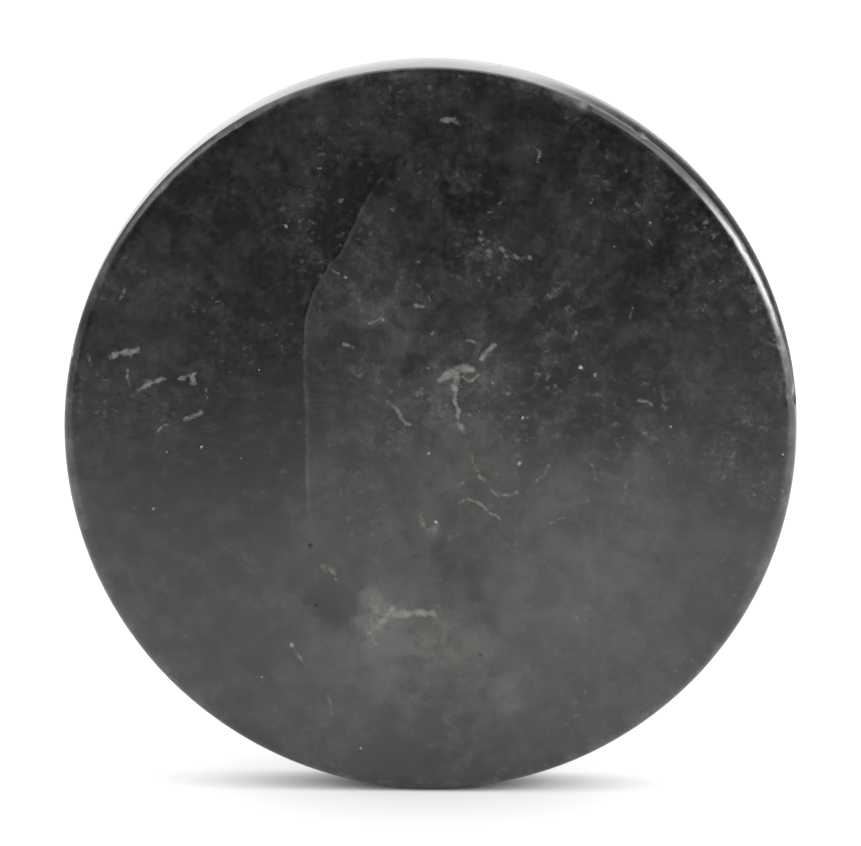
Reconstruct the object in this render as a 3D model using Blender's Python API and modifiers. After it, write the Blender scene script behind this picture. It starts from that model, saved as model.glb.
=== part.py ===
# Round granite work slab for leathercraft, standing on its edge.
# Metres, +Z up. The working face looks along -Y and the stick-on feet point along +Y.
# The origin is on the ground, under the middle of the object.

import math

import bpy

# Stone disc
STONE_DIAMETER = 0.150
STONE_THICKNESS = 0.020
ARRIS_RADIUS = 0.0025  # easing of the rim where the wall meets each face
STONE_STEPS = 120  # flats round the wall
ARRIS_STEPS = 4

# Stick-on rubber feet, on the back face
FOOT_COUNT = 4
FOOT_INSET = 0.022  # from the stone's wall to a foot's centre
FOOT_ROOT_DIAMETER = 0.0127
FOOT_TIP_DIAMETER = 0.0100
FOOT_HEIGHT = 0.0032
FOOT_EDGE_RADIUS = 0.0008  # rounding between a foot's side and its base
FOOT_STEPS = 32
EDGE_STEPS = 3
ADHESIVE_GAP = 0.0003  # film between the stone and each foot

# Derived sizes
STONE_RADIUS = STONE_DIAMETER / 2
FOOT_CIRCLE_RADIUS = STONE_RADIUS - FOOT_INSET
FULL_DEPTH = STONE_THICKNESS + ADHESIVE_GAP + FOOT_HEIGHT

SMOOTH_ANGLE = math.radians(20)
MERGE_DISTANCE = 0.00001


def clear_scene():
    """Removes whatever the start-up scene holds."""
    for obj in list(bpy.data.objects):
        bpy.data.objects.remove(obj, do_unlink=True)


def new_collection(name):
    collection = bpy.data.collections.new(name)
    bpy.context.scene.collection.children.link(collection)
    return collection


def make_material(name, color, roughness):
    """A Principled material with one colour and no metal in it."""
    material = bpy.data.materials.new(name)
    material.use_nodes = True
    shader = material.node_tree.nodes["Principled BSDF"]
    shader.inputs["Base Color"].default_value = (*color, 1.0)
    shader.inputs["Roughness"].default_value = roughness
    shader.inputs["Metallic"].default_value = 0.0
    material.diffuse_color = (*color, 1.0)
    return material


def arc(centre_x, centre_z, radius, start_deg, end_deg, steps):
    """Points along an arc from one angle to the other, with both ends."""
    points = []
    for step in range(steps + 1):
        angle = math.radians(start_deg + (end_deg - start_deg) * step / steps)
        points.append((centre_x + radius * math.cos(angle), centre_z + radius * math.sin(angle)))
    return points


def turned(name, profile, steps, material, collection):
    """A solid of revolution about Z, from (radius, height) points listed from the top centre to the bottom.

    The polygon is drawn round the true circle, so that each of its flats touches it.
    """
    widen = 1 / math.cos(math.pi / steps)
    mesh = bpy.data.meshes.new(name)
    points = [(radius * widen, 0.0, height) for radius, height in profile]
    edges = [(index, index + 1) for index in range(len(points) - 1)]
    mesh.from_pydata(points, edges, [])
    solid = bpy.data.objects.new(name, mesh)
    collection.objects.link(solid)

    screw = solid.modifiers.new("turn", "SCREW")
    screw.axis = "Z"
    screw.angle = 2 * math.pi
    screw.steps = steps
    screw.render_steps = steps
    screw.use_merge_vertices = True
    screw.merge_threshold = MERGE_DISTANCE

    graph = bpy.context.evaluated_depsgraph_get()
    turned_mesh = bpy.data.meshes.new_from_object(solid.evaluated_get(graph))
    solid.modifiers.clear()
    solid.data = turned_mesh
    bpy.data.meshes.remove(mesh)
    turned_mesh.name = name
    turned_mesh.shade_smooth()
    turned_mesh.set_sharp_from_angle(angle=SMOOTH_ANGLE)
    turned_mesh.materials.append(material)
    return solid


def stone_profile():
    """Half-section of the disc: flat face, eased arris, straight wall, eased arris, flat back."""
    half = STONE_THICKNESS / 2
    rim = STONE_RADIUS - ARRIS_RADIUS
    upper = arc(rim, half - ARRIS_RADIUS, ARRIS_RADIUS, 90, 0, ARRIS_STEPS)
    lower = arc(rim, ARRIS_RADIUS - half, ARRIS_RADIUS, 0, -90, ARRIS_STEPS)
    return [(0.0, half), *upper, *lower, (0.0, -half)]


def foot_profile():
    """Half-section of a foot, standing on its wide root: flat tip, rounded edge, sloping side, flat root."""
    tip = FOOT_TIP_DIAMETER / 2 - FOOT_EDGE_RADIUS
    edge = arc(tip, FOOT_HEIGHT - FOOT_EDGE_RADIUS, FOOT_EDGE_RADIUS, 90, 0, EDGE_STEPS)
    return [(0.0, FOOT_HEIGHT), *edge, (FOOT_ROOT_DIAMETER / 2, 0.0), (0.0, 0.0)]


def make_axis(collection):
    """An empty on the stone's axis, at the middle of the depth; its +Z is the way the working face looks."""
    axis = bpy.data.objects.new("slab_axis", None)
    axis.empty_display_size = STONE_RADIUS / 2
    axis.location = (0.0, 0.0, STONE_RADIUS)
    axis.rotation_euler = (math.pi / 2, 0.0, 0.0)
    collection.objects.link(axis)
    return axis


def make_stone(axis, material, collection):
    """The granite disc, turned by half a step so that it stands on one of its flats."""
    stone = turned("stone_disc", stone_profile(), STONE_STEPS, material, collection)
    stone.parent = axis
    stone.location = (0.0, 0.0, (FULL_DEPTH - STONE_THICKNESS) / 2)
    stone.rotation_euler = (0.0, 0.0, math.pi / STONE_STEPS)
    return stone


def make_feet(axis, material, collection):
    """Equal feet spaced round the back, the first one midway between up and sideways."""
    profile = foot_profile()
    for index in range(FOOT_COUNT):
        angle = 2 * math.pi * (index + 0.5) / FOOT_COUNT
        foot = turned(f"foot_{index + 1}", profile, FOOT_STEPS, material, collection)
        foot.parent = axis
        across = FOOT_CIRCLE_RADIUS * math.cos(angle)
        up = FOOT_CIRCLE_RADIUS * math.sin(angle)
        foot.location = (across, up, FOOT_HEIGHT - FULL_DEPTH / 2)
        foot.rotation_euler = (math.pi, 0.0, 0.0)


def main():
    clear_scene()
    collection = new_collection("granite_slab")
    granite = make_material("honed_granite", (0.045, 0.045, 0.048), 0.32)
    rubber = make_material("foot_rubber", (0.018, 0.018, 0.019), 0.70)
    axis = make_axis(collection)
    make_stone(axis, granite, collection)
    make_feet(axis, rubber, collection)


main()
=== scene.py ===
# Looks of a round slab of dark honed granite for leatherwork, standing on its edge.
# Metres, +Z up. The working face looks along -Y and the rubber feet point along +Y.

import math

import bpy
import numpy as np
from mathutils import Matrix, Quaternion, Vector


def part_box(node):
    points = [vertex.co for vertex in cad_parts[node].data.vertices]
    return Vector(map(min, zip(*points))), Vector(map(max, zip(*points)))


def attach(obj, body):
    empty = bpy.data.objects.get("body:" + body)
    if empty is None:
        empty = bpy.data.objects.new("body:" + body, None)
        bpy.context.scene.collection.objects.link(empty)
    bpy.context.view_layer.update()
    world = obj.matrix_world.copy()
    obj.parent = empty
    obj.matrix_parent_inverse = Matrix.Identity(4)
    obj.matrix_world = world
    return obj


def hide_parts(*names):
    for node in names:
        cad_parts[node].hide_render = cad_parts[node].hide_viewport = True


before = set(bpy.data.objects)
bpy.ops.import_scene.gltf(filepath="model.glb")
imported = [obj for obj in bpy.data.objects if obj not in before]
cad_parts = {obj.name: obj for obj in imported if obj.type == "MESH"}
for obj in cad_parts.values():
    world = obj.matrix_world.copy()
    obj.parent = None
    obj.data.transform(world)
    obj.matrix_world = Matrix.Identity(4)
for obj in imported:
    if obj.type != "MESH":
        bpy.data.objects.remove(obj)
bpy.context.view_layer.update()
print("frame loaded")

mm = 0.001
stoneLow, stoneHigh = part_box("stone_disc")
discCentre = Vector(((stoneLow.x + stoneHigh.x) / 2, 0.0, (stoneLow.z + stoneHigh.z) / 2))
discRadius = (stoneHigh.z - stoneLow.z) / 2


def meshFromRings(name, points):
    # points is (rings, around, 3), wrapped around; the first and last rings are closed by one pole each
    rings, around, _ = points.shape
    poles = np.array([points[0].mean(0), points[-1].mean(0)])
    vertices = np.concatenate([points.reshape(-1, 3), poles])
    ring, step = np.meshgrid(np.arange(rings - 1), np.arange(around), indexing="ij")
    ahead = (step + 1) % around
    quads = np.stack([ring * around + step, ring * around + ahead,
                      (ring + 1) * around + ahead, (ring + 1) * around + step], -1).reshape(-1, 4)
    turn = np.arange(around)
    after = (turn + 1) % around
    last = (rings - 1) * around
    firstFan = np.stack([np.full(around, rings * around), after, turn], -1)
    lastFan = np.stack([np.full(around, rings * around + 1), last + turn, last + after], -1)
    corners = np.concatenate([quads.ravel(), firstFan.ravel(), lastFan.ravel()])
    counts = np.concatenate([np.full(len(quads), 4), np.full(2 * around, 3)])
    starts = np.concatenate([[0], np.cumsum(counts)[:-1]])
    mesh = bpy.data.meshes.new(name)
    mesh.vertices.add(len(vertices))
    mesh.vertices.foreach_set("co", vertices.astype(np.float32).ravel())
    mesh.loops.add(len(corners))
    mesh.loops.foreach_set("vertex_index", corners.astype(np.int32))
    mesh.polygons.add(len(counts))
    mesh.polygons.foreach_set("loop_start", starts.astype(np.int32))
    mesh.update(calc_edges=True)
    mesh.shade_smooth()
    piece = bpy.data.objects.new(name, mesh)
    bpy.context.scene.collection.objects.link(piece)
    return piece


def smoothStep(value, low, high):
    t = np.clip((value - low) / (high - low), 0, 1)
    return t * t * (3 - 2 * t)


def aroundWander(random, angle, waves, strength):
    # a sum of whole waves round the rim, each with its own size and phase, so it closes on itself
    total = np.zeros_like(angle)
    for wave in waves:
        total += np.cos(wave * angle + random.uniform(0, 2 * np.pi)) * random.uniform(0.4, 1.0) / wave ** 0.5
    return strength * total / len(waves)


stone = {
    "around": 540,            # steps round the disc
    "faceRings": 150,
    "arrisRings": 9,
    "wallRings": 8,
    "backRings": 8,
    "arris": 2.5 * mm,        # easing of the rims
    "crown": 0.28 * mm,       # how far the wall falls away towards both easings
    "arrisUneven": 0.22,      # share by which the easing varies round the rim
    "rimUneven": 0.10 * mm,   # how far the wall wanders inwards
    "rimWaves": (2, 3, 5, 8, 13),          # whole waves round the rim
    "frontWaves": (3, 4, 7, 11, 19, 31),
    "backWaves": (2, 5, 9, 16, 27),
    "seed": 11,
    "faceWave": 0.02 * mm,    # slow unevenness left by hand honing
    "waveLengths": (19 * mm, 23 * mm, 11 * mm),
    "flatFrom": 8 * mm,       # the face's relief fades out between these distances from the rim
    "flatTo": 3 * mm,
    "smallChips": 26,
    "chipRound": 0.8,         # below 1 the chips have flatter bottoms
    "chipPale": 0.25 * mm,    # depth from which a chip shows fresh, paler stone
    "creaseStep": 0.10 * mm,
    "creaseSharp": 0.35 * mm,
    "creaseFade": 16 * mm,
    "stepLow": (-26 * mm, -14 * mm),   # the step begins and ends over these heights
    "stepHigh": (48 * mm, 56 * mm),
    "lineLow": (-24, -12),             # the same for its colour, in mm
    "lineHigh": (44, 54),
    "marksAcross": 0.2,       # middle of the marks below, in mm from the disc's centre
    "marksUp": 1.1,
}

# Edge of the shallow flake on the face: (across, up) from the disc's centre in mm, top to bottom
creaseLine = [(-9.0, 53.0), (-11.4, 49.5), (-13.4, 46.2), (-15.7, 41.0), (-18.3, 35.7), (-20.8, 32.8),
              (-23.9, 27.2), (-25.4, 22.8), (-25.9, 14.0), (-25.4, 3.6), (-25.3, -9.0), (-24.9, -20.0)]

# Chips on the front rim: angle in degrees from +X, place across the easing from 0 inside to 1 outside,
# then length along the rim, width and depth in mm
# the paler stone in the chips at 122 and 137 degrees is partly a painted highlight on the easing
rimChips = [(6.0, 0.95, 3.2, 1.6, 0.55), (55.0, 1.0, 2.6, 1.5, 0.45), (168.0, 0.9, 1.8, 1.0, 0.30),
            (65.0, 0.6, 2.2, 1.2, 0.25), (318.0, 0.6, 2.0, 0.9, 0.12), (122.0, 0.5, 2.0, 1.0, 0.12),
            (137.0, 0.4, 2.4, 0.8, 0.12)]

# Pale streaks on the working face, in mm from its centre: points, width, strength
streaks = [
    ([(2.2, 10.0), (4.4, 11.3), (6.6, 12.2), (8.2, 12.3)], 1.15, 0.95),
    ([(5.1, 10.8), (5.2, 7.6)], 1.10, 0.85),
    ([(5.2, 8.0), (5.1, 4.6), (5.8, 1.6)], 0.62, 0.95),
    ([(5.9, 0.6), (7.0, -1.0)], 1.00, 0.55),
    ([(6.6, 10.2), (8.2, 9.6), (9.7, 10.9)], 0.50, 0.75),
    ([(10.6, 14.2), (12.6, 17.0)], 0.90, 0.75),
    ([(7.4, 18.0), (8.8, 17.8)], 0.60, 0.55),
    ([(28.8, 18.4), (29.9, 19.8)], 0.50, 0.50),
    ([(25.2, 9.0), (26.6, 7.8)], 0.55, 0.60),
    ([(42.5, 5.7), (44.9, 5.0)], 0.55, 0.70),
    ([(8.5, -5.4), (9.1, -7.2), (9.4, -9.0)], 0.45, 0.60),
    ([(9.7, -9.9), (11.2, -11.0)], 0.55, 0.55),
    ([(13.3, -9.5), (14.3, -10.5)], 0.50, 0.45),
    ([(21.5, -11.4), (24.4, -7.6)], 0.60, 0.55),
    ([(12.3, -12.9), (14.2, -14.3), (17.9, -13.2)], 0.45, 0.60),
    ([(6.1, -15.5), (7.6, -14.8), (9.4, -15.1), (12.4, -18.1), (14.0, -18.9)], 0.50, 0.65),
    ([(6.6, -11.4), (5.3, -13.0)], 0.45, 0.50),
    ([(24.4, -19.5), (27.5, -18.8)], 0.40, 0.50),
    ([(33.0, -7.3), (33.9, -9.4)], 0.50, 0.40),
    ([(39.9, -10.8), (39.8, -13.8)], 0.50, 0.35),
    ([(-20.0, 32.5), (-18.4, 31.3)], 0.45, 0.50),
    ([(-18.6, 46.2), (-17.6, 46.6)], 0.50, 0.55),
    ([(-26.3, 43.4), (-26.2, 42.0)], 0.45, 0.50),
    ([(-3.2, 24.7), (-1.4, 24.7)], 0.60, 0.65),
    ([(-0.1, 27.4), (-0.1, 25.8)], 0.45, 0.55),
    ([(-12.1, 21.4), (-9.6, 22.0)], 0.50, 0.60),
    ([(-17.6, 17.0), (-15.6, 16.3)], 0.55, 0.60),
    ([(22.2, 57.2), (22.1, 54.6)], 0.60, 0.75),
    ([(32.8, 47.4), (32.4, 46.2)], 0.50, 0.60),
    ([(47.0, 43.4), (49.0, 43.3)], 0.50, 0.50),
    ([(54.4, 29.7), (58.6, 30.4)], 0.40, 0.45),
    ([(44.0, 38.6), (45.0, 37.8)], 0.45, 0.50),
    ([(40.8, 25.0), (40.6, 22.6)], 0.45, 0.45),
    ([(13.6, 37.0), (15.6, 35.8), (20.4, 34.5)], 0.70, 0.50),
    ([(2.6, 62.9), (4.2, 63.2), (5.4, 62.2)], 0.80, 0.60),
    ([(-65.1, 14.5), (-62.4, 14.7), (-59.7, 15.5)], 1.10, 0.66),
    ([(-62.1, 11.6), (-61.7, 9.6), (-61.3, 7.8)], 0.50, 0.60),
    ([(-59.1, 7.5), (-57.1, 8.7), (-54.2, 9.4)], 0.85, 0.60),
    ([(-51.3, 9.7), (-48.2, 10.6)], 0.75, 0.54),
    ([(-48.6, 10.2), (-48.2, 8.8)], 1.10, 0.52),
    ([(-45.6, 7.8), (-45.3, 5.6)], 0.45, 0.50),
    ([(-55.9, -1.6), (-53.9, 0.0), (-51.0, 1.4)], 0.45, 0.55),
    ([(-49.6, 1.4), (-46.9, 2.5)], 0.95, 0.52),
    ([(-63.2, 25.8), (-61.8, 28.0)], 0.50, 0.45),
    ([(-44.2, 27.0), (-43.8, 25.8), (-42.4, 25.6)], 0.50, 0.45),
    ([(-69.2, 14.2), (-69.2, 12.2)], 0.60, 0.45),
    ([(-7.9, 4.6), (-4.2, 0.4)], 0.75, 0.60),
    ([(-1.8, 6.8), (-0.6, 6.0)], 1.60, 0.30),
    ([(-2.0, -18.6), (-0.4, -21.6), (1.8, -20.2)], 1.00, 0.42),
    ([(-10.4, -36.0), (-11.2, -40.0), (-12.4, -44.5)], 2.60, 0.42),
    ([(-7.8, -37.3), (-8.8, -39.5), (-10.4, -41.9)], 1.10, 0.85),
    ([(-7.4, -38.7), (0.3, -38.6)], 1.15, 0.85),
    ([(-21.8, -28.8), (-19.9, -30.0), (-19.5, -31.5)], 0.90, 0.45),
    ([(-28.2, -46.0), (-26.4, -48.2), (-25.2, -50.0)], 0.55, 0.40),
    ([(-20.7, -55.4), (-20.8, -58.2), (-19.9, -60.3)], 0.50, 0.40),
]

# Bright specks, in mm: across, up, width, strength
specks = [
    (30.6, 12.5, 0.65, 1.0), (33.6, 11.0, 0.65, 0.8), (37.6, 10.0, 0.55, 0.75), (18.8, 2.1, 0.50, 0.7),
    (18.2, -7.4, 0.75, 0.8), (12.7, 9.1, 0.60, 0.6), (10.1, 3.3, 0.50, 0.6), (25.3, -12.0, 0.55, 0.5),
    (27.0, -14.0, 0.60, 0.4), (27.5, -18.7, 0.65, 0.5), (1.2, -19.6, 0.60, 0.9), (17.8, -23.1, 0.80, 0.4),
    (-17.1, 30.8, 0.65, 0.8), (-2.3, 33.9, 0.70, 0.55), (-31.8, 41.0, 0.60, 0.55), (-29.2, 41.1, 0.65, 0.6),
    (-22.3, 53.3, 0.80, 0.5), (-6.8, 54.4, 0.60, 0.5), (-4.9, 50.8, 0.60, 0.5), (-7.6, 44.5, 0.95, 0.45),
    (-9.9, 41.8, 0.70, 0.40), (0.4, 19.4, 0.65, 0.6), (-32.6, 21.3, 0.55, 0.6), (-30.0, 52.7, 0.70, 0.4),
    (2.6, 57.4, 0.70, 0.5), (-13.7, 61.8, 0.60, 0.5), (44.5, 42.3, 0.65, 0.85), (30.7, 56.6, 0.55, 0.6),
    (55.5, 41.3, 0.50, 0.6), (58.8, 30.5, 0.65, 0.8), (55.2, 24.5, 0.75, 0.6), (-52.9, 10.0, 0.60, 0.9),
    (-46.6, -4.4, 0.60, 0.9), (-61.4, -6.7, 0.65, 0.5), (-47.3, -11.5, 0.60, 0.5), (-56.5, -17.1, 0.60, 0.8),
    (-41.0, 11.3, 0.75, 0.4), (-28.4, -45.6, 0.75, 1.0), (-14.2, -67.0, 0.75, 0.9), (-6.1, -67.6, 0.55, 0.7),
    (-3.8, -51.0, 0.60, 0.5), (12.7, -48.9, 0.65, 0.55), (-19.3, -41.9, 0.55, 0.5), (19.1, -42.3, 0.60, 0.45),
    (-73.0, 15.9, 0.60, 0.9), (-19.0, 68.3, 0.60, 0.6),
]

# Cloudy paler patches and darker ones, in mm: across, up, width, strength
# the paler patches are partly pale haze on the stone and partly painted reflection
paleAndReflectionPatches = [
    (-10.8, -39.6, 7.0, 0.85), (-4.5, -42.0, 8.0, 0.55), (-3.0, -46.0, 17.0, 0.46), (-15.5, -47.0, 8.0, 0.25),
    (5.0, -52.0, 30.0, 0.34), (-6.0, 24.0, 14.0, 0.28), (6.0, -10.0, 16.0, 0.22),
    (-20.0, -44.0, 12.0, 0.20), (-7.0, -26.0, 9.0, 0.14),
    (17.3, -53.9, 5.5, 0.40), (3.5, 8.0, 26.0, 0.22), (34.0, -26.0, 34.0, 0.36), (-2.0, 5.5, 5.0, 0.22),
    (1.0, -20.5, 3.5, 0.30), (-30.0, -25.0, 22.0, 0.12),
]
# the darker patches are partly darker stone and partly painted shade, such as the wide one at the foot of the
# face, which stands for the floor's reflected shadow
darkerAndShadePatches = [
    (-19.3, -38.3, 8.5, 1.00), (-23.3, -37.5, 1.7, 1.0), (0.6, -25.6, 3.8, 1.00), (4.0, -28.6, 4.0, 0.95),
    (7.6, -32.0, 4.0, 0.95), (10.4, -35.8, 3.8, 0.85), (12.4, -40.0, 3.8, 0.70), (-4.8, -23.6, 3.4, 0.50),
    (-42.0, 42.0, 28.0, 0.50), (-40.0, 0.0, 26.0, 0.38), (34.0, 18.0, 27.0, 0.60), (-23.0, 6.0, 13.0, 0.45),
    (33.0, 5.0, 20.0, 0.40), (-32.0, -9.0, 20.0, 0.38),
    (-15.0, 48.0, 16.0, 0.55), (-30.0, 30.0, 14.0, 0.35), (8.0, 50.0, 14.0, 0.35),
    (45.0, 5.0, 16.0, 0.30), (2.0, -68.0, 26.0, 0.65), (-52.0, -24.0, 34.0, 0.45),
]
pits = [(-24.5, -24.9, 0.80, 1.0), (-23.3, -37.5, 0.90, 0.8), (10.3, -47.3, 0.65, 1.0)]


def creaseAcross(up):
    # how far across the crease lies at each height; the line is a function of height
    line = np.array(creaseLine[::-1]) * mm
    return np.interp(up, line[:, 1], line[:, 0])


def faceRelief(across, up):
    # slow honing waves plus the flake's step, which rises just right of the crease and fades away from it
    lengthAcross, lengthUp, lengthSlant = stone["waveLengths"]
    wave = np.sin(across / lengthAcross + 0.7) * np.cos(up / lengthUp - 0.4)
    wave += 0.5 * np.sin((across + up) / lengthSlant + 2.1)
    beyond = across - creaseAcross(up)
    ends = smoothStep(up, *stone["stepLow"]) * (1 - smoothStep(up, *stone["stepHigh"]))
    step = smoothStep(beyond, -stone["creaseSharp"], stone["creaseSharp"])
    step *= np.exp(-np.clip(beyond, 0, None) / stone["creaseFade"]) * ends
    return stone["faceWave"] * wave + stone["creaseStep"] * step


def streakField(across, up):
    # in mm; at each place the largest over all streaks of strength x (1 - distance / width)
    field = np.full_like(across, -1.0)
    for points, width, strength in streaks:
        for (startX, startZ), (endX, endZ) in zip(points, points[1:]):
            runX, runZ = endX - startX, endZ - startZ
            share = ((across - startX) * runX + (up - startZ) * runZ) / (runX ** 2 + runZ ** 2)
            share = np.clip(share, 0, 1)
            away = np.hypot(across - startX - share * runX, up - startZ - share * runZ)
            field = np.maximum(field, strength * (1 - away / width))
    return field


def spotField(across, up, spots):
    # the same for round spots
    field = np.full_like(across, -1.0)
    for middleX, middleZ, width, strength in spots:
        field = np.maximum(field, strength * (1 - np.hypot(across - middleX, up - middleZ) / width))
    return field


def patchField(across, up, patches):
    # soft rounds that fade from their middle to nothing and add up to one at most
    total = np.zeros_like(across)
    for middleX, middleZ, width, strength in patches:
        away = np.hypot(across - middleX, up - middleZ) / width
        total += strength * (1 - smoothStep(away, 0, 1))
    return np.minimum(total, 1)


def addField(mesh, name, rings, poleValues):
    # a number per vertex, with the poles last as in the mesh
    layer = mesh.attributes.new(name, "FLOAT", "POINT")
    values = np.concatenate([rings.ravel(), poleValues]).astype(np.float32)
    layer.data.foreach_set("value", values)


def bentPlace(main, other, longWave, shortWave):
    # main, in mm, moved by a long wave (height, length, shift) and a short one (height, length, slant)
    height, length, shift = longWave
    bent = main + height * np.sin(other / length + shift)
    height, length, slant = shortWave
    return bent + height * np.sin(other / length + main / slant)


def paintStone(mesh, across, up, chipped, frontRings):
    # fields that the granite reads; across and up in mm; beyond the front easing there are no marks
    seen = (np.arange(len(across)) < frontRings)[:, None]
    markPlace = (bentPlace(across, up, (0.20, 1.1, 1.3), (0.15, 0.47, 1.9)),
                 bentPlace(up, across, (0.20, 1.2, 0.4), (0.15, 0.53, -1.7)))
    patchPlace = (bentPlace(across, up, (1.6, 3.1, 0.5), (0.8, 1.4, 2.3)),
                  bentPlace(up, across, (1.6, 2.8, 2.0), (0.8, 1.5, -2.6)))
    addField(mesh, "streak", np.where(seen, streakField(*markPlace), -1), (-1, -1))
    addField(mesh, "speck", np.where(seen, spotField(across, up, specks), -1), (-1, -1))
    addField(mesh, "pit", np.where(seen, spotField(across, up, pits), -1), (-1, -1))
    # pale also carries painted reflection, and darker painted shade, besides the stone's own patches
    addField(mesh, "pale", np.where(seen, patchField(*patchPlace, paleAndReflectionPatches), 0), (0.2, 0))
    addField(mesh, "darker", np.where(seen, patchField(*patchPlace, darkerAndShadePatches), 0), (0, 0))
    ends = smoothStep(up, *stone["lineLow"]) * (1 - smoothStep(up, *stone["lineHigh"])) * seen
    # these also place the painted highlight along the crease and the painted shade left of it
    addField(mesh, "beyondCrease", across - creaseAcross(up * mm) / mm, (26, 26))
    addField(mesh, "creaseEnds", ends, (1, 0))
    addField(mesh, "chipped", chipped, (0, 0))


def chipDepth(random, angle, across, easing):
    # shallow scoops on the easing; across runs from 0 at its inner edge to 1 at its outer edge
    chips = list(rimChips)
    for _ in range(stone["smallChips"]):
        chips.append((random.uniform(0, 360), random.uniform(0.2, 1.0), random.uniform(1.2, 2.4),
                      random.uniform(0.5, 1.0), random.uniform(0.05, 0.16)))
    depth = np.zeros(np.broadcast(angle, across).shape)
    for degrees, place, length, width, deep in chips:
        away = (angle - math.radians(degrees) + np.pi) % (2 * np.pi) - np.pi
        along = away * discRadius / (length * mm / 2)
        over = (across - place) * easing * np.pi / 2 / (width * mm)
        scoop = np.clip(1 - along ** 2 - over ** 2, 0, 1) ** stone["chipRound"]
        depth = np.maximum(depth, deep * mm * scoop)
    return depth


def makeStone():
    # a profile from the face's centre over the front easing, wall and back easing to the back's centre,
    # carried round the disc's axis; the easing's size changes round the rim
    random = np.random.default_rng(stone["seed"])
    angle = np.linspace(0, 2 * np.pi, stone["around"], endpoint=False)[None, :]
    inwards = -np.abs(aroundWander(random, angle, stone["rimWaves"], stone["rimUneven"]))
    uneven = stone["arrisUneven"]
    frontEasing = stone["arris"] * (1 + aroundWander(random, angle, stone["frontWaves"], uneven))
    backEasing = stone["arris"] * (1 + aroundWander(random, angle, stone["backWaves"], uneven))
    radius = discRadius + inwards
    share = np.linspace(0, 1, stone["faceRings"] + 1)[1:, None]
    sweep = np.linspace(0, np.pi / 2, stone["arrisRings"] + 1)[1:, None]
    wall = np.linspace(0, 1, stone["wallRings"] + 1)[1:-1, None]
    backShare = np.linspace(1, 0, stone["backRings"] + 1)[1:-1, None]
    front, back = stoneLow.y, stoneHigh.y

    rim = radius - stone["crown"]
    faceOut = share * (rim - frontEasing)
    faceIn = np.full_like(faceOut, front)
    chip = chipDepth(random, angle, sweep / (np.pi / 2), frontEasing)
    frontOut = rim - frontEasing + (frontEasing - chip) * np.sin(sweep)
    frontIn = front + frontEasing - (frontEasing - chip) * np.cos(sweep)
    wallStart, wallEnd = front + frontEasing, back - backEasing
    wallIn = wallStart + (wallEnd - wallStart) * wall
    wallOut = radius - stone["crown"] * (2 * wall - 1) ** 2
    backSweep = np.concatenate([[[0.0]], sweep])
    backOut = rim - backEasing + backEasing * np.cos(backSweep)
    backIn = back - backEasing + backEasing * np.sin(backSweep)
    flatOut = backShare * (rim - backEasing)
    flatIn = np.full_like(flatOut, back)

    out = np.concatenate([faceOut, frontOut, wallOut, backOut, flatOut])
    depth = np.concatenate([faceIn, frontIn, wallIn, backIn, flatIn])
    across, up = out * np.cos(angle), out * np.sin(angle)
    rings = stone["faceRings"]
    inside = 1 - smoothStep(out[:rings], discRadius - stone["flatFrom"], discRadius - stone["flatTo"])
    marksX, marksZ = across - stone["marksAcross"] * mm, up - stone["marksUp"] * mm
    depth[:rings] -= faceRelief(marksX[:rings], marksZ[:rings]) * inside
    points = np.stack([discCentre.x + across, depth, discCentre.z + up], -1)
    piece = meshFromRings("stoneDisc", points)
    chipped = np.zeros_like(across)
    chipped[rings:rings + stone["arrisRings"]] = np.minimum(chip / stone["chipPale"], 1)
    paintStone(piece.data, marksX / mm, marksZ / mm, chipped, rings + stone["arrisRings"])
    return piece


foot = {
    "around": 72,
    "tipShare": 0.79,         # base's width over the root's
    "dimple": 0.35 * mm,      # hollow in the base that grips the bench
    "dimpleWidth": 3.2 * mm,
    "dimpleFlat": 0.75,       # share of the hollow that is flat
    "dimpleRings": 14,
    "lip": 0.30 * mm,         # moulding lip round the root
    "lipRings": 9,
    "edge": 0.8 * mm,
    "edgeRings": 8,
    "edgeSweep": 1.25,        # radians that the rounded edge turns through
    "sideRings": 8,
    "sideBulge": 1.25,        # above 1 the side flares towards the root
}


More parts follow.
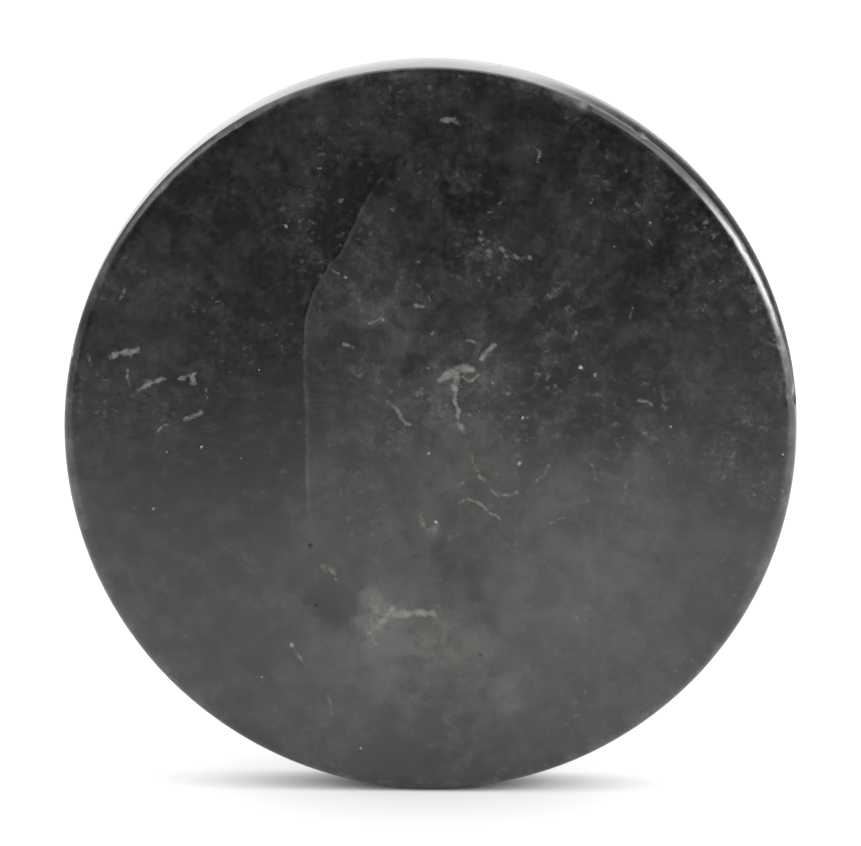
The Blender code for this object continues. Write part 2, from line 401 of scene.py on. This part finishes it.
def makeFoot(node, number):
    # a turned section from the base's centre over its hollow and rounded edge, down the sloping side
    # to the lip, and across the bonded root, which reaches the stone
    low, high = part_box(node)
    centre = (low + high) / 2
    rootRadius = (high.x - low.x) / 2
    height = high.y - low.y
    tipRadius = rootRadius * foot["tipShare"]
    edge = foot["edge"]
    hollow = np.linspace(0, tipRadius - edge, foot["dimpleRings"])[1:]
    flatEnd = foot["dimpleWidth"] * foot["dimpleFlat"]
    hollowRise = foot["dimple"] * (1 - smoothStep(hollow, flatEnd, foot["dimpleWidth"]))
    sweep = np.linspace(0, foot["edgeSweep"], foot["edgeRings"] + 1)[1:]
    edgeOut = tipRadius - edge + edge * np.sin(sweep)
    edgeRise = edge - edge * np.cos(sweep)
    sideShare = np.linspace(0, 1, foot["sideRings"])[1:]
    lipStart = height - foot["lip"] * 2
    sideOut = edgeOut[-1] + (rootRadius - foot["lip"] - edgeOut[-1]) * sideShare ** foot["sideBulge"]
    sideRise = edgeRise[-1] + (lipStart - edgeRise[-1]) * sideShare
    turn = np.linspace(-np.pi / 2, np.pi / 2, foot["lipRings"])
    lipOut = rootRadius - foot["lip"] + foot["lip"] * np.cos(turn)
    lipRise = height - foot["lip"] + foot["lip"] * np.sin(turn)
    bondOut = np.array([rootRadius - foot["lip"], rootRadius * 0.5])
    bondRise = np.full(2, high.y - stoneHigh.y)
    out = np.concatenate([hollow, edgeOut, sideOut, lipOut, bondOut])[:, None]
    rise = np.concatenate([hollowRise, edgeRise, sideRise, lipRise, bondRise])[:, None]
    angle = np.linspace(0, 2 * np.pi, foot["around"], endpoint=False)[None, :]
    depth = np.broadcast_to(high.y - rise, (len(out), foot["around"]))
    points = np.stack([centre.x + out * np.cos(-angle), depth, centre.z + out * np.sin(-angle)], -1)
    return meshFromRings(f"rubberFoot{number}", points)


# Noises: size of the grain in mm, detail, roughness, distortion
noises = {
    "coarseGrain": (1.4, 3.0),
    "fineGrain": (0.22, 2.0),
    "grit": (1.1, 3.0, 0.60),
    "mottle": (4.6, 4.0, 0.62, 0.3),
    "groups": (15.0, 2.0, 0.50),
    "cloud": (34.0, 3.0, 0.55, 0.4),
    "wisps": (7.0, 4.0, 0.60, 0.8),
    "vein": (2.8, 2.0, 0.55, 0.5),
    "blot": (2.4, 4.0, 0.66),
    "bend": (1.3, 2.0),
    "scuff": (1.8, 4.0, 0.65),
    "dust": (0.5, 3.0),
}

# Smooth changes: from, to, and the results at both ends where they aren't 0 and 1; lengths in mm
changes = {
    "face": (0.6, 2.2, 1.0, 0.0),          # inwards from the front
    "easing": (2.0, 3.4, 1.0, 0.0),
    "back": (-1.2, -0.2),                  # from the back
    "rim": (72.3, 73.4),                   # from the disc's axis
    "streak": (0.05, 0.80),
    "streakUneven": (-0.15, 0.15, 0.55, 1.0),
    "speck": (0.22, 0.92),
    "pit": (0.15, 0.55),
    "chip": (0.15, 0.75),
    "wear": (0.45, 0.70),
    "flakeStart": (-0.35, 0.35),           # rightwards from the crease
    "flakeEnd": (1.0, 26.0, 1.0, 0.0),
    # the pale line along the crease is a painted highlight
    "lineStart": (-0.3, 0.0),
    "lineEnd": (0.1, 1.1, 1.0, 0.0),
    "lineBroken": (0.35, 0.65, 0.60, 1.0),
    # the dark band left of the crease is painted shade
    "creaseShadeStart": (-18.0, 0.0),
    "creaseShadeEnd": (-0.35, 0.35, 1.0, 0.0),
    "flecksRise": (-32.0, 4.0, 0.40, 1.0),     # upwards from the disc's centre
    "flecksFall": (36.0, 62.0, 1.0, 0.5),
    "flecksLeft": (-50.0, 5.0, 0.45, 1.0),     # rightwards from the disc's centre
    "flecksGrouped": (0.35, 0.62, 0.35, 1.0),
    "vein": (0.0, 0.100, 0.6, 0.0),
    "veinBroken": (0.40, 0.72),
    "blot": (0.46, 0.86),
    "shardEdge": (0.05, 0.46, 1.0, 0.0),
    "shardChance": (0.45, 0.95),
    "shardsGrouped": (0.42, 0.60, 0.35, 1.0),
    "grainSize": (0.74, 1.0, 0.0, 0.11),
    "cloudTone": (0.30, 0.72),
    "mottleTone": (0.34, 0.70),
    "flakeTone": (-8.0, 34.0, 0.22, 0.50),     # upwards from the disc's centre
    # the haze is partly on the stone and partly painted reflection of the floor, so it is thickest low on the
    # face
    "hazeAndReflectionFall": (-40.0, 14.0, 1.0, 0.0),
    "hazeAndReflectionCloud": (0.32, 0.62, 0.10, 0.34),
    "hazeAndReflectionHue": (0.4, 0.6),
    "cloudGloss": (0.3, 0.7),
    "footBase": (2.4, 3.4),                    # from the stone's back
    "scuff": (0.40, 0.70),
    "dust": (0.55, 0.75, 0.0, 0.25),
}


def feed(tree, socket, value):
    if isinstance(value, bpy.types.NodeSocket):
        tree.links.new(value, socket)
    else:
        socket.default_value = value


def figure(tree, operation, *values, clamp=False):
    node = tree.nodes.new("ShaderNodeMath")
    node.operation = operation
    node.use_clamp = clamp
    for socket, value in zip(node.inputs, values):
        feed(tree, socket, value)
    return node.outputs[0]


def product(tree, *values, clamp=False):
    # all the values multiplied together
    total = values[0]
    for value in values[1:-1]:
        total = figure(tree, "MULTIPLY", total, value)
    return figure(tree, "MULTIPLY", total, values[-1], clamp=clamp)


def scaled(tree, value, factor, added=0.0):
    return figure(tree, "MULTIPLY_ADD", value, factor, added)


def vectorFigure(tree, operation, *values):
    node = tree.nodes.new("ShaderNodeVectorMath")
    node.operation = operation
    for socket, value in zip(node.inputs, values):
        feed(tree, socket, value)
    return node.outputs["Value" if operation in ("DOT_PRODUCT", "DISTANCE", "LENGTH") else "Vector"]


def between(tree, value, low, high, start=0.0, end=1.0):
    # start below low, end above high, and a smooth change between
    node = tree.nodes.new("ShaderNodeMapRange")
    node.interpolation_type = "SMOOTHSTEP"
    names = ("Value", "From Min", "From Max", "To Min", "To Max")
    for name, amount in zip(names, (value, low, high, start, end)):
        feed(tree, node.inputs[name], amount)
    return node.outputs[0]


def noise(tree, place, size, detail=2.0, rough=0.5, distortion=0.0, output="Fac"):
    # size is the pattern's grain in the units of place
    node = tree.nodes.new("ShaderNodeTexNoise")
    feed(tree, node.inputs["Vector"], place)
    node.inputs["Scale"].default_value = 1 / size
    node.inputs["Detail"].default_value = detail
    node.inputs["Roughness"].default_value = rough
    node.inputs["Distortion"].default_value = distortion
    return node.outputs[output]


def cells(tree, place, size):
    # round cells about scattered points: the distance from the point and a random number for each cell
    node = tree.nodes.new("ShaderNodeTexVoronoi")
    feed(tree, node.inputs["Vector"], place)
    node.inputs["Scale"].default_value = 1 / size
    chance = tree.nodes.new("ShaderNodeSeparateColor")
    tree.links.new(node.outputs["Color"], chance.inputs[0])
    return node.outputs["Distance"], chance.outputs[0]


def axesOf(tree, place):
    node = tree.nodes.new("ShaderNodeSeparateXYZ")
    tree.links.new(place, node.inputs[0])
    return node.outputs


def mixColor(tree, share, first, second):
    node = tree.nodes.new("ShaderNodeMix")
    node.data_type = "RGBA"
    feed(tree, node.inputs["Factor"], share)
    feed(tree, node.inputs[6], first)
    feed(tree, node.inputs[7], second)
    return node.outputs[2]


def newMaterial(name):
    material = bpy.data.materials.new(name)
    material.use_nodes = True
    return material, material.node_tree, material.node_tree.nodes["Principled BSDF"]


def millimetrePlace(tree):
    # Object coordinates in mm from the disc's centre
    coordinates = tree.nodes.new("ShaderNodeTexCoord")
    mapping = tree.nodes.new("ShaderNodeMapping")
    tree.links.new(coordinates.outputs["Object"], mapping.inputs["Vector"])
    mapping.inputs["Scale"].default_value = (1 / mm,) * 3
    mapping.inputs["Location"].default_value = tuple(-discCentre / mm)
    return mapping.outputs["Vector"]


def painted(tree, name):
    node = tree.nodes.new("ShaderNodeAttribute")
    node.attribute_name = name
    return node.outputs["Fac"]


def addBump(tree, shader, height, strength, distance):
    bump = tree.nodes.new("ShaderNodeBump")
    bump.inputs["Strength"].default_value = strength
    bump.inputs["Distance"].default_value = distance
    tree.links.new(height, bump.inputs["Height"])
    tree.links.new(bump.outputs["Normal"], shader.inputs["Normal"])


def newGroup(name, inputs, outputs):
    tree = bpy.data.node_groups.new(name, "ShaderNodeTree")
    for label, kind, value in inputs:
        socket = tree.interface.new_socket(name=label, in_out="INPUT", socket_type=kind)
        socket.default_value = value
    for label, kind in outputs:
        tree.interface.new_socket(name=label, in_out="OUTPUT", socket_type=kind)
    return tree, tree.nodes.new("NodeGroupInput").outputs, tree.nodes.new("NodeGroupOutput").inputs


def useGroup(tree, group, **values):
    node = tree.nodes.new("ShaderNodeGroup")
    node.node_tree = group
    for name, value in values.items():
        feed(tree, node.inputs[name], value)
    return node.outputs


def makeFineGrainGroup():
    # small height ripples for a bump, in two sizes
    inputs = [("Place", "NodeSocketVector", (0, 0, 0)),
              ("Coarse", "NodeSocketFloat", 0.5),
              ("Fine", "NodeSocketFloat", 0.5)]
    tree, given, made = newGroup("fineGrain", inputs, [("Height", "NodeSocketFloat")])
    coarse = product(tree, noise(tree, given["Place"], *noises["coarseGrain"]), given["Coarse"])
    fine = product(tree, noise(tree, given["Place"], *noises["fineGrain"]), given["Fine"])
    feed(tree, made["Height"], figure(tree, "ADD", coarse, fine))
    return tree


granite = {
    "dark": (0.0035, 0.0036, 0.0038, 1),
    "grey": (0.0200, 0.0200, 0.0198, 1),
    # colours of the haze, which is partly on the stone and partly painted reflection of the floor
    "hazeAndReflection": (0.0600, 0.0590, 0.0530, 1),
    "coolHazeAndReflection": (0.0575, 0.0570, 0.0580, 1),
    "fleck": (0.125, 0.125, 0.116, 1),
    "mark": (0.160, 0.160, 0.138, 1),
    "bright": (0.400, 0.390, 0.370, 1),
    "hollow": (0.002, 0.002, 0.002, 1),
    "sawn": (0.0400, 0.0400, 0.0405, 1),
    "wispFrom": 0.3,          # wisps break up the pale patches where their noise is above this
    "wispContrast": 5.0,
    "wispLeast": 0.15,        # what they leave between them
    "veins": 0.55,            # shares of veins and blots in the flecks
    "blots": 0.75,
    "fewerInDark": -0.65,     # how much of the flecks the dark patches take away
    "shardSize": 1.5,         # in mm, as is the next
    "grainSpacing": 3.8,
    "shardStretch": (0.75, 1.0, 1.05),
    "shardBend": (2.6, 2.6, 2.6),
    "grainLimit": 0.76,       # cells whose random number is above this hold a bright grain
    "grainCore": 0.3,         # share of a grain that is at its full brightness
    "hazeAndReflectionUneven": 1.2,
    "pitHeight": -2.0,        # heights of the bump's parts, the fine grain's being about 1
    "sawHeight": 0.8,
    "sawMiddle": (160.0, 0.0, 60.0),
    "sawScale": 0.16,
    "sawWander": 1.2,
    "roughness": 0.20,
    "sawnRoughness": 0.58,
    "refraction": 1.60,
    "specular": 0.52,
    "bump": 0.10,
    "bumpHeight": 0.2 * mm,
}

# What each pattern adds to the tone, which runs from 0 for dark to 1 for grey
tones = {
    "base": -0.04,
    "cloud": 0.40,
    "mottle": 0.55,
    "grit": 0.70,
    "creaseShade": -0.30,
    "shade": -0.6,
    "shadeOnFlake": -0.7,     # how much of the shade the flake takes away
}

# What each pattern adds to the roughness
rougher = {"cloud": 0.06, "marks": 0.15, "hazeAndReflection": 0.08, "grit": 0.10}

# What lies over the stone's own colour, one over another: pattern, strength, colour
graniteLayers = [
    ("flecks", 0.38, "fleck"),
    ("shards", 0.56, "fleck"),
    ("grains", 0.45, "bright"),
    # the pale line along the crease is a painted highlight
    ("line", 0.14, "fleck"),
    ("streaks", 0.82, "mark"),
    ("specks", 0.80, "bright"),
    ("pits", 1.0, "hollow"),
    ("wear", 0.22, "fleck"),
    ("freshStoneAndHighlight", 0.55, "fleck"),
]


def graded(tree, value, name):
    return between(tree, value, *changes[name])


def stonePatterns(tree):
    # places in mm, the stone's surfaces as 0 to 1, and the noises that the other patterns share;
    # grit runs about zero, the other noises about a half
    place = millimetrePlace(tree)
    across, depth, up = axesOf(tree, place)
    flat = tree.nodes.new("ShaderNodeCombineXYZ")
    feed(tree, flat.inputs[0], across)
    feed(tree, flat.inputs[2], up)
    flat = flat.outputs[0]
    fromFront = figure(tree, "SUBTRACT", depth, stoneLow.y / mm)
    fromBack = figure(tree, "SUBTRACT", depth, stoneHigh.y / mm)
    fromAxis = vectorFigure(tree, "LENGTH", flat)
    return {
        "place": place,
        "flat": flat,
        "across": across,
        "up": up,
        "onFace": graded(tree, fromFront, "face"),
        "onBack": graded(tree, fromBack, "back"),
        "onEasing": product(tree, graded(tree, fromAxis, "rim"), graded(tree, fromFront, "easing")),
        "grit": figure(tree, "SUBTRACT", noise(tree, place, *noises["grit"]), 0.5),
        "mottle": noise(tree, place, *noises["mottle"]),
        "cloud": noise(tree, place, *noises["cloud"]),
        "groups": noise(tree, place, *noises["groups"]),
    }


def addPaintedPatterns(tree, look):
    # the fields painted on the mesh; the grit makes the edges of the marks ragged
    streaked = graded(tree, figure(tree, "ADD", painted(tree, "streak"), look["grit"]), "streak")
    look["streaks"] = product(tree, streaked, graded(tree, look["grit"], "streakUneven"), look["onFace"])
    specked = graded(tree, scaled(tree, look["grit"], 1.6, painted(tree, "speck")), "speck")
    look["specks"] = product(tree, specked, look["onFace"])
    look["pits"] = product(tree, graded(tree, painted(tree, "pit"), "pit"), look["onFace"])
    wisps = figure(tree, "SUBTRACT", noise(tree, look["place"], *noises["wisps"]), granite["wispFrom"])
    wisps = figure(tree, "MAXIMUM", product(tree, wisps, granite["wispContrast"]), granite["wispLeast"])
    # the pale patches are partly painted reflection and the darker ones partly painted shade
    look["pale"] = product(tree, painted(tree, "pale"), wisps)
    broken = scaled(tree, look["mottle"], -2.0, 2.0)
    look["darker"] = product(tree, painted(tree, "darker"), broken, clamp=True)
    # paler stone in the chips, at two of them partly a painted highlight
    look["freshStoneAndHighlight"] = graded(tree, scaled(tree, look["grit"], 0.8, painted(tree, "chipped")), "chip")
    look["wear"] = product(tree, look["onEasing"], graded(tree, look["mottle"], "wear"))


def addCreasePatterns(tree, look):
    # the flake right of the crease, a pale line along it that is a painted highlight, and a dark band left of
    # it that is painted shade
    beyond = scaled(tree, look["grit"], 1.1, painted(tree, "beyondCrease"))
    ends = painted(tree, "creaseEnds")
    look["flake"] = product(tree, graded(tree, beyond, "flakeStart"), graded(tree, beyond, "flakeEnd"), ends)
    line = product(tree, graded(tree, beyond, "lineStart"), graded(tree, beyond, "lineEnd"), ends)
    look["line"] = product(tree, line, graded(tree, look["mottle"], "lineBroken"))
    look["creaseShade"] = product(tree, graded(tree, beyond, "creaseShadeStart"), graded(tree, beyond, "creaseShadeEnd"), ends)


def addFleckPatterns(tree, look):
    # veins and blots where two noises are strong, and bent shards and round grains in cells picked at random
    upwards = product(tree, graded(tree, look["up"], "flecksRise"), graded(tree, look["up"], "flecksFall"))
    density = product(tree, upwards, graded(tree, look["across"], "flecksLeft"),
                      graded(tree, look["groups"], "flecksGrouped"),
                      scaled(tree, look["darker"], granite["fewerInDark"], 1.0))
    vein = figure(tree, "SUBTRACT", noise(tree, look["place"], *noises["vein"]), 0.5)
    vein = graded(tree, figure(tree, "ABSOLUTE", vein), "vein")
    vein = product(tree, vein, graded(tree, look["mottle"], "veinBroken"))
    blot = graded(tree, noise(tree, look["place"], *noises["blot"]), "blot")
    fleck = scaled(tree, vein, granite["veins"], product(tree, blot, granite["blots"]))
    look["flecks"] = product(tree, fleck, density)
    bend = noise(tree, look["place"], *noises["bend"], output="Color")
    bend = vectorFigure(tree, "MULTIPLY", bend, granite["shardBend"])
    bent = vectorFigure(tree, "MULTIPLY_ADD", look["place"], granite["shardStretch"], bend)
    away, chance = cells(tree, bent, granite["shardSize"])
    shard = product(tree, graded(tree, away, "shardEdge"), graded(tree, chance, "shardChance"))
    look["shards"] = product(tree, shard, density, graded(tree, look["groups"], "shardsGrouped"))
    away, chance = cells(tree, look["place"], granite["grainSpacing"])
    size = graded(tree, chance, "grainSize")
    grain = between(tree, away, product(tree, size, granite["grainCore"]), size, 1.0, 0.0)
    look["grains"] = product(tree, grain, figure(tree, "GREATER_THAN", chance, granite["grainLimit"]))


def stoneColour(tree, look):
    # tone from dark to grey, lowered by the darker patches, which are partly painted shade; then a thin haze
    # that is thickest low on the face, partly on the stone and partly painted reflection of the floor; then
    # the layers above
    besideFlake = scaled(tree, look["flake"], tones["shadeOnFlake"], 1.0)
    shade = product(tree, look["darker"], look["onFace"], besideFlake)
    tone = scaled(tree, graded(tree, look["cloud"], "cloudTone"), tones["cloud"], tones["base"])
    tone = scaled(tree, graded(tree, look["mottle"], "mottleTone"), tones["mottle"], tone)
    tone = scaled(tree, look["grit"], tones["grit"], tone)
    tone = scaled(tree, look["flake"], graded(tree, look["up"], "flakeTone"), tone)
    # painted shade in the band left of the crease
    tone = scaled(tree, look["creaseShade"], tones["creaseShade"], tone)
    tone = figure(tree, "ADD", tone, product(tree, shade, tones["shade"]), clamp=True)
    hazeAndReflection = product(tree, graded(tree, look["up"], "hazeAndReflectionFall"), graded(tree, look["cloud"], "hazeAndReflectionCloud"))
    uneven = figure(tree, "SUBTRACT", look["mottle"], 0.5)
    hazeAndReflection = scaled(tree, uneven, product(tree, hazeAndReflection, granite["hazeAndReflectionUneven"]), hazeAndReflection)
    clear = figure(tree, "SUBTRACT", 1.0, shade)
    hazeAndReflection = product(tree, figure(tree, "ADD", hazeAndReflection, look["pale"]), clear, clamp=True)
    look["hazeAndReflection"] = product(tree, hazeAndReflection, look["onFace"])
    hue = mixColor(tree, graded(tree, look["groups"], "hazeAndReflectionHue"), granite["hazeAndReflection"], granite["coolHazeAndReflection"])
    colour = mixColor(tree, look["hazeAndReflection"], mixColor(tree, tone, granite["dark"], granite["grey"]), hue)
    colour = mixColor(tree, look["onBack"], colour, mixColor(tree, tone, granite["grey"], granite["sawn"]))
    for pattern, strength, name in graniteLayers:
        share = product(tree, look[pattern], strength)
        colour = mixColor(tree, share, colour, granite[name])
    return colour


def stoneRoughness(tree, look):
    marks = figure(tree, "MAXIMUM", look["flecks"], look["streaks"])
    rough = scaled(tree, graded(tree, look["cloud"], "cloudGloss"), rougher["cloud"], granite["roughness"])
    rough = scaled(tree, marks, rougher["marks"], rough)
    rough = scaled(tree, look["hazeAndReflection"], rougher["hazeAndReflection"], rough)
    rough = scaled(tree, look["grit"], rougher["grit"], rough)
    return scaled(tree, look["onBack"], granite["sawnRoughness"] - granite["roughness"], rough)


def stoneHeight(tree, look, grainGroup):
    # honed grain, hollows, and on the back the arcs of a saw blade whose middle lies beyond the rim
    height = useGroup(tree, grainGroup, Place=look["place"], Coarse=0.5, Fine=0.10)["Height"]
    height = scaled(tree, look["pits"], granite["pitHeight"], height)
    saw = tree.nodes.new("ShaderNodeTexWave")
    saw.wave_type = "RINGS"
    saw.rings_direction = "Y"
    feed(tree, saw.inputs["Vector"], vectorFigure(tree, "ADD", look["flat"], granite["sawMiddle"]))
    saw.inputs["Scale"].default_value = granite["sawScale"]
    saw.inputs["Distortion"].default_value = granite["sawWander"]
    saw.inputs["Detail"].default_value = 2.0
    arcs = product(tree, saw.outputs["Fac"], look["onBack"])
    return scaled(tree, arcs, granite["sawHeight"], height)


def makeGranite(grainGroup):
    material, tree, shader = newMaterial("honedGranite")
    look = stonePatterns(tree)
    addPaintedPatterns(tree, look)
    addCreasePatterns(tree, look)
    addFleckPatterns(tree, look)
    tree.links.new(stoneColour(tree, look), shader.inputs["Base Color"])
    tree.links.new(stoneRoughness(tree, look), shader.inputs["Roughness"])
    addBump(tree, shader, stoneHeight(tree, look, grainGroup), granite["bump"], granite["bumpHeight"])
    shader.inputs["IOR"].default_value = granite["refraction"]
    shader.inputs["Specular IOR Level"].default_value = granite["specular"]
    return material


rubber = {
    "color": (0.014, 0.014, 0.015, 1),
    "worn": (0.045, 0.044, 0.042, 1),
    "roughness": 0.62,
    "wornRougher": 0.2,
    "bump": 0.35,
    "bumpHeight": 0.08 * mm,
}


def makeRubber(grainGroup):
    # scuffed on the base and dusty all over
    material, tree, shader = newMaterial("footRubber")
    place = millimetrePlace(tree)
    fromBack = figure(tree, "SUBTRACT", axesOf(tree, place)[1], stoneHigh.y / mm)
    scuffed = graded(tree, noise(tree, place, *noises["scuff"]), "scuff")
    scuffed = product(tree, graded(tree, fromBack, "footBase"), scuffed)
    dust = graded(tree, noise(tree, place, *noises["dust"]), "dust")
    share = figure(tree, "MAXIMUM", scuffed, dust)
    colour = mixColor(tree, share, rubber["color"], rubber["worn"])
    tree.links.new(colour, shader.inputs["Base Color"])
    rough = scaled(tree, share, rubber["wornRougher"], rubber["roughness"])
    tree.links.new(rough, shader.inputs["Roughness"])
    height = useGroup(tree, grainGroup, Place=place, Coarse=0.4, Fine=0.8)["Height"]
    addBump(tree, shader, height, rubber["bump"], rubber["bumpHeight"])
    return material


studio = {
    "floorSize": 6.0,
    "floorColor": (0.86, 0.86, 0.86, 1),
    "floorRoughness": 0.8,
    "skyHorizon": 2.0,
    "skyAbove": 1.4,
    "skyBehind": 1.85,
    "skyRise": (0.05, 0.9),       # height of the look, from level to straight up, over which the sky changes
    "skyBack": (0.55, 0.90),      # the same for looks towards the back
    "backdrop": 1.0,              # what the camera sees behind the floor
}

softbox = {
    "name": "sideWindow",
    "direction": (0.918, -0.15, 0.371),
    "distance": 1.3,
    "size": (0.60, 0.60),
    "power": 5.0,
}

# Cards that shape the reflections: name, centre, size, facing, strength, lean in their own plane in degrees
cards = [
    ("sideGlow", (1.206, -0.32, 0.53), (1.5, 0.46), (-0.9, 0.36, -0.33), 13.0, 0.0),
    ("sideGlowAbove", (0.95, -0.40, 1.05), (1.6, 0.5), (-0.7, 0.3, -0.9), 2.8, 0.0),
    ("leftGlow", (-0.9, -0.42, 0.80), (0.5, 0.5), (0.8, 0.35, -0.6), 3.0, 0.0),
    ("leftBlock", (-0.62, 0.45, 0.42), (0.75, 0.70), (0.8, -0.6, -0.3), 0.55, 0.0),
    ("leftShade", (-1.1, -0.35, 0.26), (1.6, 0.52), (0.9, 0.3, 0), 0.4, 0.0),
    ("frontFlag", (0.0, -0.42, 0.61), (1.0, 1.22), (0, 1, 0), 0.02, 0.0),
    ("topFlag", (0.0, -0.03, 1.0), (0.8, 0.78), (0, 0, -1), 0.05, 0.0),
    ("lowBlock", (0.35, 0.50, 0.205), (0.50, 0.32), (0, -1, 0), 0.05, 23.0),
]


def makeFloor():
    bpy.ops.mesh.primitive_circle_add(vertices=96, radius=studio["floorSize"], fill_type="NGON")
    floor = bpy.context.object
    floor.name = "floor"
    material, _, shader = newMaterial("paleFloor")
    shader.inputs["Base Color"].default_value = studio["floorColor"]
    shader.inputs["Roughness"].default_value = studio["floorRoughness"]
    floor.data.materials.append(material)


def makeCard(name, centre, size, facing, strength, lean):
    # a plain card that only reflections see, dark or lit
    bpy.ops.mesh.primitive_plane_add(size=1.0)
    card = bpy.context.object
    card.name = name
    card.scale = (size[0], size[1], 1.0)
    card.location = centre
    turn = Quaternion((0, 0, 1), math.radians(lean))
    card.rotation_euler = (Vector(facing).to_track_quat("Z", "Y") @ turn).to_euler()
    material = bpy.data.materials.new(name)
    material.use_nodes = True
    tree = material.node_tree
    tree.nodes.clear()
    glow = tree.nodes.new("ShaderNodeEmission")
    glow.inputs["Color"].default_value = (1, 1, 1, 1)
    glow.inputs["Strength"].default_value = strength
    tree.links.new(glow.outputs[0], tree.nodes.new("ShaderNodeOutputMaterial").inputs["Surface"])
    card.data.materials.append(material)
    card.visible_camera = False
    card.visible_diffuse = False
    card.visible_shadow = False
    card.visible_transmission = False


def makeSky():
    # brightest near the horizon, a little less so towards the back; the camera sees an even backdrop
    world = bpy.data.worlds.new("studioSky")
    bpy.context.scene.world = world
    world.use_nodes = True
    tree = world.node_tree
    tree.nodes.clear()
    axes = axesOf(tree, tree.nodes.new("ShaderNodeTexCoord").outputs["Generated"])
    strength = between(tree, axes[2], *studio["skyRise"], studio["skyHorizon"], studio["skyAbove"])
    behind = between(tree, axes[1], *studio["skyBack"])
    strength = scaled(tree, behind, studio["skyBehind"] - studio["skyHorizon"], strength)
    choose = tree.nodes.new("ShaderNodeMixShader")
    path = tree.nodes.new("ShaderNodeLightPath")
    tree.links.new(path.outputs["Is Camera Ray"], choose.inputs[0])
    for socket, amount in ((choose.inputs[1], strength), (choose.inputs[2], studio["backdrop"])):
        light = tree.nodes.new("ShaderNodeBackground")
        light.inputs["Color"].default_value = (1, 1, 1, 1)
        feed(tree, light.inputs["Strength"], amount)
        tree.links.new(light.outputs[0], socket)
    tree.links.new(choose.outputs[0], tree.nodes.new("ShaderNodeOutputWorld").inputs["Surface"])


def makeSoftbox():
    light = bpy.data.lights.new(softbox["name"], "AREA")
    light.shape = "RECTANGLE"
    light.size, light.size_y = softbox["size"]
    light.energy = softbox["power"]
    lamp = bpy.data.objects.new(softbox["name"], light)
    bpy.context.scene.collection.objects.link(lamp)
    direction = Vector(softbox["direction"]).normalized()
    lamp.location = discCentre + direction * softbox["distance"]
    lamp.rotation_euler = direction.to_track_quat("Z", "Y").to_euler()


view = {
    "azimuth": 2.0,
    "elevation": 10.0,
    "distance": 1.5,
    "lens": 305.6,
    "sensor": 36.0,
    "nearest": 0.05,
    "aimAcross": -0.15 * mm,
    "aimUp": -0.1 * mm,
}


def makeCamera():
    data = bpy.data.cameras.new("camera")
    data.lens = view["lens"]
    data.sensor_width = view["sensor"]
    data.clip_start = view["nearest"]
    camera = bpy.data.objects.new("camera", data)
    bpy.context.scene.collection.objects.link(camera)
    turn, rise = math.radians(view["azimuth"]), math.radians(view["elevation"])
    away = Vector((math.sin(turn) * math.cos(rise), -math.cos(turn) * math.cos(rise), math.sin(rise)))
    aim = Vector((view["aimAcross"], 0.0, discCentre.z + view["aimUp"]))
    camera.location = aim + away * view["distance"]
    camera.rotation_euler = away.to_track_quat("Z", "Y").to_euler()
    bpy.context.scene.camera = camera


grainGroup = makeFineGrainGroup()
graniteMaterial = makeGranite(grainGroup)
rubberMaterial = makeRubber(grainGroup)
print("materials made")

stonePiece = makeStone()
stonePiece.data.materials.append(graniteMaterial)
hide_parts("stone_disc")
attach(stonePiece, "root")
print("stone made")

for node in sorted(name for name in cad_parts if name.startswith("foot_")):
    footPiece = makeFoot(node, node[-1])
    footPiece.data.materials.append(rubberMaterial)
    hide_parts(node)
    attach(footPiece, "root")
print("feet made")

makeFloor()
makeSky()
makeSoftbox()
for card in cards:
    makeCard(*card)
makeCamera()
bpy.context.scene.view_settings.view_transform = "Standard"
print("studio made")
